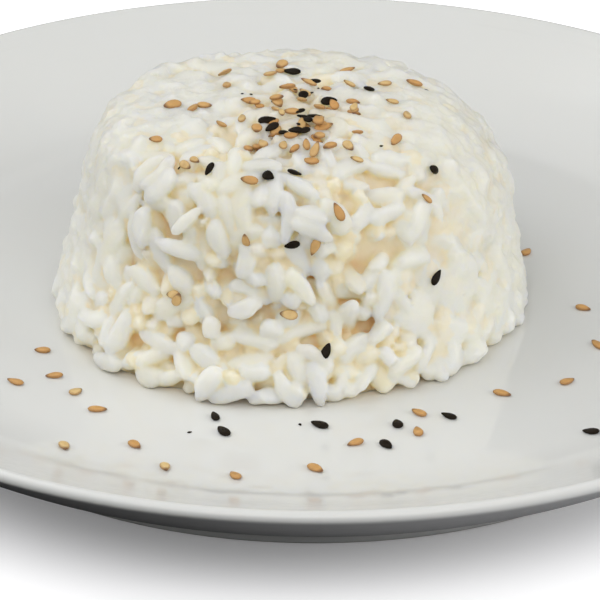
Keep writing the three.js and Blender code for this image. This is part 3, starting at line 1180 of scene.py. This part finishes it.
class DISH_OT_heap(bpy.types.Operator):
    """Pack grains of rice into the mould, fuse them where they touch and turn them out"""

    bl_idname = "rice_dish.heap"
    bl_label = "Rice"

    SEED = 5
    VOXEL = 0.34 * MM
    TRIANGLES = 190000
    # Grains drop off the outermost layer, below PITS_TOP, and fewer of them near the foot.
    OUTER_LAYER = 2.6 * MM
    PITS_TOP = 38 * MM
    PITS_RISE = 16 * MM
    DROPPED = 0.26
    # Painted shade: how deep the second layer starts, and how soon it is reached; the same for the
    # gaps; and how high the painted shade along the foot reaches.
    SECOND_LAYER = 2.7 * MM
    LAYER_FADE = 1.1 * MM
    GAP_START = 1.4 * MM
    GAP_FADE = 3 * MM
    FOOT_HEIGHT = 2.5 * MM
    # The rice round this place on top, under the thickest seeds, is tinted towards the second layer's
    # beige.
    TINT_MIDDLE = (1 * MM, -8 * MM)
    TINT_REACH = 11 * MM
    TINTED = 0.36
    CREASE_DEPTH = 0.35 * MM

    def execute(self, context):
        sizes = context.scene.rice_sizes
        random = np.random.default_rng(self.SEED)
        mould = Mould()
        grains = Grains(mould, sizes, random)
        kept = self.thin_out(grains, random)
        finish = rice_material("rice_grain", sizes, 0.32)
        third = np.cross(grains.axis, grains.side)
        turns = turns_from_axes(grains.axis, grains.side, third)
        span = np.stack([grains.length, grains.width * 1.1, grains.width * 0.82], 1)
        tone = random.random(len(turns)).astype(np.float32)
        bent = (grains.bend > 0.07) & ~grains.broken
        groups = (
            ("grains_whole", kept & ~bent & ~grains.broken, whole_grain_shapes()),
            ("grains_bent", kept & bent, bent_grain_shapes()),
            ("grains_broken", kept & grains.broken, broken_grain_shapes()),
        )
        pieces = [new_piece("core", *core_mesh(mould))]
        for name, chosen, shapes in groups:
            places = {
                "position": grains.centre[chosen] + mould.centre,
                "turn": turns[chosen],
                "span": span[chosen].astype(np.float32),
                "kind": random.integers(0, len(shapes), chosen.sum()).astype(np.int32),
                "tone": tone[chosen],
            }
            pieces.append(scatter(name, shapes, finish, places, 0.03, self.SEED))
        heap = join_pieces("rice_heap", pieces)
        fat = sizes.sticky / 2
        depths, _ = mould.depth(mesh_points(heap.data) - mould.centre)
        deep = ((depths - 2.4 * MM) / (2 * MM)).clip(0, 1)
        set_attribute(heap.data, "deep", "FLOAT", deep.astype(np.float32))
        run_tree(heap, swell_tree(), {"Fat": fat})
        fuse(heap, mould, self.VOXEL, fat, 1, self.TRIANGLES, finish)
        self.mark(heap, mould, grains, tone)
        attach(heap, BODY)
        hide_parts("rice")
        return {"FINISHED"}

    def thin_out(self, grains, random):
        """Which grains stay; some have dropped off the loose front, and left pits."""
        depths, _ = grains.mould.depth(grains.centre)
        outer = depths < self.OUTER_LAYER
        height = grains.centre[:, 2]
        above_foot = (height / self.PITS_RISE - 0.2).clip(0, 1)
        loose = (1 - paste_share(grains.centre)) * (height < self.PITS_TOP) * above_foot
        return ~(outer & (random.random(len(outer)) < self.DROPPED * loose))

    def mark(self, heap, mould, grains, tone):
        """Notes for the material where to paint shade, from how deep each point lies, and which grain
        it belongs to.
        """
        points = mesh_points(heap.data) - mould.centre
        depths, _ = mould.depth(points)
        paste = paste_share(points)
        beads, _ = grains.beads()
        tree = KDTree(beads.shape[0] * len(BEADS))
        for number, bead in enumerate(beads.reshape(-1, 3)):
            tree.insert(bead, number)
        tree.balance()
        nearest = np.array([tree.find(point)[1] for point in points]) // len(BEADS)
        layers, _ = mould.depth(grains.centre)
        layers += foot_spread(grains.centre)
        layers = ((layers - self.SECOND_LAYER) / self.LAYER_FADE).clip(0, 1)
        # Painted shade on the grains of the second layer.
        below = 0.6 * layers[nearest] * (1 - 0.65 * paste)
        spread = foot_spread(points)
        # Painted shade deep in the gaps between grains.
        gaps = ((depths + spread - self.GAP_START) / self.GAP_FADE).clip(0, 1) * (1 - 0.3 * paste)
        # Painted shade along the foot of the heap, where it meets the plate.
        low = 0.5 * (1 - points[:, 2] / self.FOOT_HEIGHT).clip(0, 1)
        foot = low * (depths > 0.7 * MM - spread)
        buried = np.maximum(np.maximum(below, gaps), foot * (1 - 0.5 * paste))
        x, y = self.TINT_MIDDLE
        away = np.hypot(points[:, 0] - x, points[:, 1] - y) / self.TINT_REACH
        tinted = self.TINTED * np.exp(-away ** 2) * (points[:, 2] > 0.7 * mould.height)
        buried = np.maximum(buried, tinted)
        set_attribute(heap.data, "buried", "FLOAT", buried.astype(np.float32))
        # Painted shade in the creases between grains, less where paste fills them.
        creases = self.creases(heap.data) * (1 - 0.8 * paste)
        set_attribute(heap.data, "crease", "FLOAT", creases.astype(np.float32))
        right = points[:, 0] / np.hypot(points[:, 0], points[:, 1])
        tone = tone[nearest] * (1 - 0.7 * paste) + 0.2 * paste * right.clip(0, 1)
        set_attribute(heap.data, "tone", "FLOAT", tone.astype(np.float32))

    def creases(self, mesh, rounds=18):
        """How far every point lies in a crease, 1, or on the crown of a grain, -1."""
        points = mesh_points(mesh)
        normals = np.empty(len(points) * 3, np.float32)
        mesh.vertices.foreach_get("normal", normals)
        edges = np.empty(len(mesh.edges) * 2, np.int32)
        mesh.edges.foreach_get("vertices", edges)
        first, second = edges.reshape(-1, 2).T
        count = np.bincount(first, minlength=len(points)) + np.bincount(second, minlength=len(points))
        eased = points.copy()
        for _ in range(rounds):
            eased = np.stack([
                np.bincount(first, eased[second, i], len(points))
                + np.bincount(second, eased[first, i], len(points))
                for i in range(3)
            ], 1) / count[:, None]
        depth = ((eased - points) * normals.reshape(-1, 3)).sum(1)
        return (depth / self.CREASE_DEPTH).clip(-1, 1)


# ---------------------------------------------------------------------------------------------
# Sesame seeds
# ---------------------------------------------------------------------------------------------

def seed_shape(name, point=0.55, sides=14, rows=4):
    """One seed, a unit long along X, a unit wide along Y and a unit thick along Z, tip at +X."""
    vertices, along, margin = [], [], []
    for row in range(-rows, rows + 1):
        height = row / rows
        shrink = math.sqrt(max(0.0, 1 - abs(height) ** 2.4)) * 0.98 + 0.02
        for side in range(sides):
            angle = 2 * math.pi * side / sides
            x = math.cos(angle)
            narrow = 1 - point * (0.5 + 0.5 * x) ** 1.6
            y = math.sin(angle) * narrow
            lift = 0.5 * height * (1 - 0.25 * max(0, x))
            vertices.append((0.5 * x * shrink, 0.5 * y * shrink * 1.12, lift))
            along.append(0.5 + 0.5 * x * shrink)
            margin.append(min(1.0, max(0.0, (shrink - 0.8) / 0.19)))
    faces = []
    for row in range(2 * rows):
        here, there = row * sides, (row + 1) * sides
        for side in range(sides):
            after = (side + 1) % sides
            faces.append((here + side, here + after, there + after, there + side))
    faces.append(tuple(reversed(range(sides))))
    faces.append(tuple(range(2 * rows * sides, (2 * rows + 1) * sides)))
    shape = shape_object(name, vertices, faces)
    set_attribute(shape.data, "along", "FLOAT", np.array(along, np.float32))
    set_attribute(shape.data, "margin", "FLOAT", np.array(margin, np.float32))
    return shape


# Sprinkles over the rice: kind, how many, middle and spread of x and y in millimetres from the
# middle of its foot, and lowest and highest tone.
RICE_SPRINKLES = (
    ("sesame_tan", 36, (1, -12), (8, 9), (0.0, 0.5)),
    ("sesame_tan", 12, (0, -12), (10, 11), (0.75, 1.0)),
    ("sesame_tan", 20, (-2, -6), (16, 17), (0.0, 1.0)),
    ("sesame_black", 9, (3, -9), (8, 9), (0.0, 1.0)),
    ("sesame_black", 9, (0, -10), (15, 16), (0.0, 1.0)),
)
# On the steep side of the rice: kind, how many, middle and spread of the azimuth in degrees, and
# lowest and highest place in millimetres.
WALL_SPRINKLES = (
    ("sesame_tan", 8, -95, 28, (12, 33)),
    ("sesame_black", 3, -90, 25, (6, 28)),
)
# Fallen on the plate: kind, how many, middle and spread of the azimuth in degrees, mean distance
# past the clear strip at the foot of the rice in millimetres, and tone.
PLATE_SPRINKLES = (
    ("sesame_tan", 18, -100, 60, 11, 0.15),
    ("sesame_tan", 3, -120, 25, 18, 0.95),
    ("sesame_black", 7, -90, 60, 10, 0.5),
    ("sesame_crumbs", 4, -100, 60, 20, 0.5),
)


class Surface:
    """The top of all that has been laid down so far, found by looking for it from outside."""

    def __init__(self, pieces):
        depsgraph = bpy.context.evaluated_depsgraph_get()
        self.trees = [BVHTree.FromObject(piece, depsgraph) for piece in pieces]

    def add(self, vertices, faces):
        self.trees.append(BVHTree.FromPolygons(vertices, faces))

    def hit(self, start, direction):
        found = [tree.ray_cast(start, direction) for tree in self.trees]
        found = [f for f in found if f[0] is not None]
        if not found:
            return None
        return min(found, key=lambda f: f[3])


class SeedLayer:
    """Lays seeds one by one: on the rice each on whatever lies under it, on the plate each flat."""

    DROP_FROM = 12 * MM
    PLATE_LEAN = 0.03

    def __init__(self, context, random):
        self.sizes = context.scene.seed_sizes
        self.plate = context.scene.plate_sizes
        self.random = random
        self.mould = Mould()
        self.surface = Surface([bpy.data.objects["rice_heap"]])
        self.places = {}

    def lay(self, kind, position, normal, lean=0.12, size=1.0, tone=None):
        """Puts one seed down with its flat side along the surface."""
        random = self.random
        normal = Vector(normal)
        tilt = Vector(random.normal(0, lean, 3))
        up = (normal + tilt).normalized()
        helper = Vector((1, 0, 0)) if abs(up.x) < 0.9 else Vector((0, 1, 0))
        first = up.cross(helper).normalized()
        second = up.cross(first)
        angle = random.uniform(0, 2 * math.pi)
        axis = first * math.cos(angle) + second * math.sin(angle)
        side = up.cross(axis)
        span = np.array([self.sizes.length, self.sizes.width, self.sizes.thickness]) * size
        span = span * random.normal(1, (0.07, 0.07, 0.1))
        self.places.setdefault(kind, []).append({
            "position": tuple(position), "axes": (axis, side, up), "span": span,
            "tone": random.random() if tone is None else tone,
        })
        box = [
            Vector(position) + axis * x * span[0] * 0.4 + side * y * span[1] * 0.36
            + up * z * span[2] * 0.4
            for x in (-1, 1) for y in (-1, 1) for z in (-1, 1)
        ]
        self.surface.add(box, [(0, 1, 3, 2), (4, 6, 7, 5), (0, 4, 5, 1), (2, 3, 7, 6),
                               (0, 2, 6, 4), (1, 5, 7, 3)])

    def settle(self, kind, start, direction, size=1.0, tone=None):
        """Drops a seed from outside the rice, along a direction, until it rests."""
        direction = Vector(direction).normalized()
        helper = Vector((0, 0, 1)) if abs(direction.z) < 0.9 else Vector((1, 0, 0))
        across = direction.cross(helper).normalized()
        beside = direction.cross(across)
        reach = self.sizes.width * 0.45 * size
        hits = []
        for turn in range(7):
            shift = Vector((0, 0, 0))
            if turn:
                angle = math.pi / 3 * turn
                shift = (across * math.cos(angle) + beside * math.sin(angle)) * reach
            hit = self.surface.hit(Vector(start) + shift, direction)
            if hit is not None:
                hits.append((hit[3], hit[0], hit[1]))
        if len(hits) < 3:
            raise RuntimeError("a seed found no rice to lie on")
        hits.sort(key=lambda h: h[0])
        nearest = hits[:4]
        normal = -direction * 1.2
        for _, _, found in nearest:
            normal += found if found.dot(direction) < 0 else -found
        normal.normalize()
        distance = sum(h[0] for h in nearest) / len(nearest)
        position = Vector(start) + direction * distance + normal * self.sizes.thickness * 0.3 * size
        self.lay(kind, position, normal, size=size, tone=tone)

    def on_top(self, kind, x, y, **options):
        """x and y in metres from the middle of the rice's foot."""
        probe = np.array([[x, y, self.mould.height_over(x, y)]])
        _, normals = self.mould.depth(probe)
        outside = probe[0] + normals[0] * self.DROP_FROM + self.mould.centre
        self.settle(kind, outside, -normals[0], **options)

    def on_wall(self, kind, azimuth, height, **options):
        inside = 30 * MM
        probe = np.array([[inside * math.cos(azimuth), inside * math.sin(azimuth), height]])
        depths, normals = self.mould.depth(probe)
        outside = probe[0] + normals[0] * (depths[0] + self.DROP_FROM) + self.mould.centre
        self.settle(kind, outside, -normals[0], **options)

    def on_plate(self, kind, x, y, size=1.0, tone=None):
        height, normal = plate_surface(self.plate, x, y)
        position = Vector((x, y, height)) + normal * self.sizes.thickness * 0.42 * size
        self.lay(kind, position, normal, lean=self.PLATE_LEAN, size=size, tone=tone)


class DISH_OT_seeds(bpy.types.Operator):
    """Sprinkle toasted and black sesame over the rice and the plate"""

    bl_idname = "rice_dish.seeds"
    bl_label = "Sesame seeds"

    SEED = 11
    CRUMBS = 12
    CRUMB_SIZE = 0.27
    CRUMB_MIDDLE = (0, -8)
    CRUMB_SPREAD = (12, 12)
    CRUMB_REACH = 26
    TOP_REACH = 34 * MM
    # On the plate: how far apart seeds lie, how wide the clear strip at the foot of the rice is,
    # and how far out seeds fall, as a share of the plate's radius.
    APART = 3.6 * MM
    CLEAR_STRIP = 1.5 * MM
    FARTHEST = 0.8
    # Seeds differ in size: mean, spread, smallest and largest, as shares of the mean seed.
    SIZE_MEAN, SIZE_SPREAD = 0.92, 0.1
    SMALLEST, LARGEST = 0.6, 1.1

    def execute(self, context):
        random = np.random.default_rng(self.SEED)
        layer = SeedLayer(context, random)
        self.sprinkle_plate(layer, random)
        self.sprinkle_rice(layer, random)
        self.lay_crumbs(layer, random)
        sizes = context.scene.seed_sizes
        tan = seed_material("sesame_tan_skin", sizes.tan, sizes.tip, sizes.pale)
        black = seed_material("sesame_black_skin", sizes.dark, sizes.dark, (0.02, 0.013, 0.008), 0.12)
        self.join(layer, "sesame_tan", tan, "tan_seed")
        self.join(layer, "sesame_black", black, "dark_seed")
        self.join(layer, "sesame_crumbs", black, "dark_seed")
        return {"FINISHED"}

    def sprinkle_plate(self, layer, random):
        """Lays down the seeds that fell past the rice, none on top of another."""
        taken = []
        for kind, count, middle, spread, distance, tone in PLATE_SPRINKLES:
            size = self.CRUMB_SIZE if kind == "sesame_crumbs" else 1.0
            laid = 0
            while laid < count:
                azimuth = math.radians(random.normal(middle, spread))
                outward = np.array([math.cos(azimuth), math.sin(azimuth), 0.0])
                foot = layer.mould.outline(azimuth)[0, 0] + foot_spread(outward[None])[0]
                reach = foot + self.CLEAR_STRIP + random.gamma(2, distance / 2) * MM
                x, y = (layer.mould.centre + outward * reach)[:2]
                alone = all(math.hypot(x - a, y - b) > self.APART for a, b in taken)
                if alone and math.hypot(x, y) < self.FARTHEST * layer.plate.radius:
                    layer.on_plate(kind, x, y, size=size, tone=tone)
                    taken.append((x, y))
                    laid += 1

    def sprinkle_rice(self, layer, random):
        """Strews seeds over the rice, thickest on top, a little in front of the middle."""
        for kind, count, middle, spread, tones in RICE_SPRINKLES:
            for _ in range(count):
                x, y = self.spot_on_top(random, middle, spread)
                layer.on_top(kind, x, y, size=self.seed_size(random), tone=random.uniform(*tones))
        for kind, count, middle, spread, heights in WALL_SPRINKLES:
            for _ in range(count):
                azimuth = math.radians(random.normal(middle, spread))
                height = random.uniform(*heights) * MM
                layer.on_wall(kind, azimuth, height, size=self.seed_size(random))

    def spot_on_top(self, random, middle, spread):
        """Draws again until the spot lies on the top of the rice."""
        while True:
            x, y = random.normal(middle, spread) * MM
            if math.hypot(x, y) < self.TOP_REACH:
                return x, y

    def seed_size(self, random):
        size = random.normal(self.SIZE_MEAN, self.SIZE_SPREAD)
        return min(self.LARGEST, max(self.SMALLEST, size))

    def lay_crumbs(self, layer, random):
        for _ in range(self.CRUMBS):
            place = random.normal(self.CRUMB_MIDDLE, self.CRUMB_SPREAD)
            x, y = place.clip(-self.CRUMB_REACH, self.CRUMB_REACH) * MM
            layer.on_top("sesame_crumbs", x, y, size=self.CRUMB_SIZE)

    def join(self, layer, name, finish, slot):
        seeds = layer.places[name]
        shapes = [
            seed_shape(name + "_a", 0.5), seed_shape(name + "_b", 0.62), seed_shape(name + "_c", 0.42),
        ]
        axes = [[seed["axes"][i] for seed in seeds] for i in range(3)]
        places = {
            "position": [seed["position"] for seed in seeds],
            "turn": turns_from_axes(*axes),
            "span": np.array([seed["span"] for seed in seeds], np.float32),
            "kind": np.arange(len(seeds), dtype=np.int32) % len(shapes),
            "tone": np.array([seed["tone"] for seed in seeds], np.float32),
        }
        piece = scatter(name, shapes, finish, places, 0.04, self.SEED)
        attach(piece, BODY)


# ---------------------------------------------------------------------------------------------
# The stage
# ---------------------------------------------------------------------------------------------

# Softboxes: setting, azimuth and height in degrees, distance, width and height in metres.
SOFTBOXES = (
    ("front", -90, 42, 1.1, 1.3, 0.5),
    ("low", -90, 22, 1.2, 1.2, 0.3),
    ("left", 175, 50, 1.0, 0.7, 0.7),
    ("right", -15, 20, 1.1, 0.7, 0.35),
    ("back", 135, 51, 1.1, 0.45, 0.4),
)


def softbox(name, azimuth, height, distance, size, brightness):
    """A rectangular light that is aimed at the dish, as bright as its brightness all over."""
    data = bpy.data.lights.new("softbox_" + name, "AREA")
    data.shape = "RECTANGLE"
    data.size, data.size_y = size
    data.energy = brightness * math.pi * size[0] * size[1]
    data.color = (1.0, 0.993, 0.975)
    light = bpy.data.objects.new("softbox_" + name, data)
    bpy.context.scene.collection.objects.link(light)
    target = Vector((0, 0, 0.03))
    outward = Vector((
        math.cos(height) * math.cos(azimuth), math.cos(height) * math.sin(azimuth), math.sin(height)
    ))
    light.location = target + outward * distance
    light.rotation_euler = outward.to_track_quat("Z", "Y").to_euler()


class DISH_OT_stage(bpy.types.Operator):
    """Set up the floor, the lights and the camera"""

    bl_idname = "rice_dish.stage"
    bl_label = "Stage"

    def execute(self, context):
        sizes = context.scene.stage_sizes
        self.floor(sizes)
        self.lights(context, sizes)
        self.camera(context, sizes)
        return {"FINISHED"}

    def floor(self, sizes):
        half = 6.0
        floor = new_piece("floor", [(-half, -half, 0), (half, -half, 0), (half, half, 0),
                                    (-half, half, 0)], [(0, 1, 2, 3)])
        material, tree, shader = new_material("pale_floor")
        patches, _ = mottle(tree, 0.4, 0.02)
        pale = tuple(sizes.floor)
        seen = mix_colours(tree, patches, pale, tuple(0.985 * c for c in pale))
        # For light that bounces off the floor its colour is near black on the left and grey on the
        # right: painted shade and light on the plate's underside. Only the camera sees the pale colour.
        camera_ray = add_node(tree, "ShaderNodeLightPath").outputs["Is Camera Ray"]
        place = add_node(tree, "ShaderNodeTexCoord").outputs["Object"]
        across = add_node(tree, "ShaderNodeSeparateXYZ", inputs={"Vector": place}).outputs["X"]
        reach = add_node(
            tree, "ShaderNodeVectorMath", {"operation": "LENGTH"}, {"Vector": place}
        ).outputs["Value"]
        lit = remap(tree, across, -0.06, 0.1, smooth=True)
        shaded = mix_colours(tree, lit, (0.02, 0.02, 0.022), (0.4, 0.4, 0.42))
        colour = mix_colours(tree, camera_ray, shaded, seen)
        tree.links.new(colour, shader.inputs["Base Color"])
        shader.inputs["Roughness"].default_value = 0.9
        shader.inputs["Specular IOR Level"].default_value = 0.0
        shader.inputs["Emission Color"].default_value = (0.97, 0.97, 1.0, 1.0)
        # Painted light: the floor glows for the camera, weakly just round the plate and more farther
        # out, which paints the plate's shadow on the floor.
        away = remap(tree, reach, 0.72 * plate_high.x, 0.98 * plate_high.x, 0.12, 0.5, smooth=True)
        glow = calculate(tree, "MULTIPLY", camera_ray, away)
        tree.links.new(glow, shader.inputs["Emission Strength"])
        floor.data.materials.append(material)

    def lights(self, context, sizes):
        world = bpy.data.worlds.new("tent")
        context.scene.world = world
        world.use_nodes = True
        tree = world.node_tree
        background = tree.nodes["Background"]
        direction = add_node(tree, "ShaderNodeTexCoord").outputs["Generated"]
        axes = add_node(tree, "ShaderNodeSeparateXYZ", inputs={"Vector": direction})
        x, y, z = (axes.outputs[axis] for axis in "XYZ")

        def region(*slopes):
            """1 where a value is past the high end of every slope, 0 before its low end."""
            share = 1.0
            for value, low, high in slopes:
                share = calculate(tree, "MULTIPLY", remap(tree, value, low, high, smooth=True), share)
            return share

        strength = 0.0
        for brightness, share in (
            (0.38, region((y, 0.0, 0.5), (z, -0.02, 0.02))),
            (-0.3, region((y, 0.5, 0.8), (z, 0.75, 0.6), (x, 0.02, 0.055), (x, 0.35, 0.2))),
            (0.44, region((z, 0.3, 0.7), (y, 0.5, 0.0))),
            (1.6, region((x, 0.0, -0.3), (y, 0.6, 0.1), (y, -0.6, -0.1), (z, 0.05, 0.3),
                         (z, 0.75, 0.35))),
            (0.2, region((x, 0.0, 0.3), (y, 0.6, 0.1), (y, -0.6, -0.1), (z, 0.05, 0.3),
                         (z, 0.75, 0.35))),
        ):
            part = calculate(tree, "MULTIPLY", share, brightness * sizes.tent)
            strength = calculate(tree, "ADD", part, strength)
        tree.links.new(strength, background.inputs["Strength"])
        background.inputs["Color"].default_value = (1.0, 1.0, 0.985, 1.0)
        for name, azimuth, height, distance, wide, high in SOFTBOXES:
            softbox(name, math.radians(azimuth), math.radians(height), distance, (wide, high),
                    getattr(sizes, name))

    def camera(self, context, sizes):
        data = bpy.data.cameras.new("camera")
        data.lens = sizes.lens
        data.sensor_width = 36.0
        data.clip_start = 0.01
        data.clip_end = 50.0
        camera = bpy.data.objects.new("camera", data)
        context.scene.collection.objects.link(camera)
        across = Vector((1, 0, 0))
        forward = Vector((0, math.cos(sizes.elevation), -math.sin(sizes.elevation)))
        up = Vector((0, math.sin(sizes.elevation), math.cos(sizes.elevation)))
        middle = Vector((0, 0, plate_high.z)) - across * 1.85 * MM - up * 16.5 * MM
        turned_across = across * math.cos(sizes.roll) + up * math.sin(sizes.roll)
        turned_up = up * math.cos(sizes.roll) - across * math.sin(sizes.roll)
        frame_axes = Matrix((turned_across, turned_up, -forward)).transposed().to_4x4()
        camera.matrix_world = Matrix.Translation(middle - forward * sizes.distance) @ frame_axes
        context.scene.camera = camera
        context.scene.view_settings.view_transform = "Standard"


# ---------------------------------------------------------------------------------------------
# Panel and start
# ---------------------------------------------------------------------------------------------

class DISH_PT_panel(bpy.types.Panel):
    """Everything on the dish, in the order it is made"""

    bl_idname = "DISH_PT_panel"
    bl_label = "Rice on a plate"
    bl_space_type = "VIEW_3D"
    bl_region_type = "UI"
    bl_category = "Rice"

    def draw(self, context):
        for group, operators in (
            ("plate_sizes", ("rice_dish.plate",)),
            ("rice_sizes", ("rice_dish.heap",)),
            ("seed_sizes", ("rice_dish.seeds",)),
            ("stage_sizes", ("rice_dish.stage",)),
        ):
            box = self.layout.box()
            settings = getattr(context.scene, group)
            for name in settings.__annotations__:
                box.prop(settings, name)
            for operator in operators:
                box.operator(operator)


SETTINGS = {
    "plate_sizes": PlateSizes,
    "rice_sizes": RiceSizes,
    "seed_sizes": SeedSizes,
    "stage_sizes": StageSizes,
}
OPERATORS = (DISH_OT_plate, DISH_OT_heap, DISH_OT_seeds, DISH_OT_stage)


def register():
    for made in (*SETTINGS.values(), *OPERATORS, DISH_PT_panel):
        bpy.utils.register_class(made)
    for name, group in SETTINGS.items():
        setattr(bpy.types.Scene, name, bpy.props.PointerProperty(type=group))


def unregister():
    for name in SETTINGS:
        delattr(bpy.types.Scene, name)
    for made in reversed((*SETTINGS.values(), *OPERATORS, DISH_PT_panel)):
        bpy.utils.unregister_class(made)


def main():
    register()
    bpy.ops.rice_dish.plate()
    bpy.ops.rice_dish.heap()
    bpy.ops.rice_dish.seeds()
    bpy.ops.rice_dish.stage()


if __name__ == "__main__":
    main()
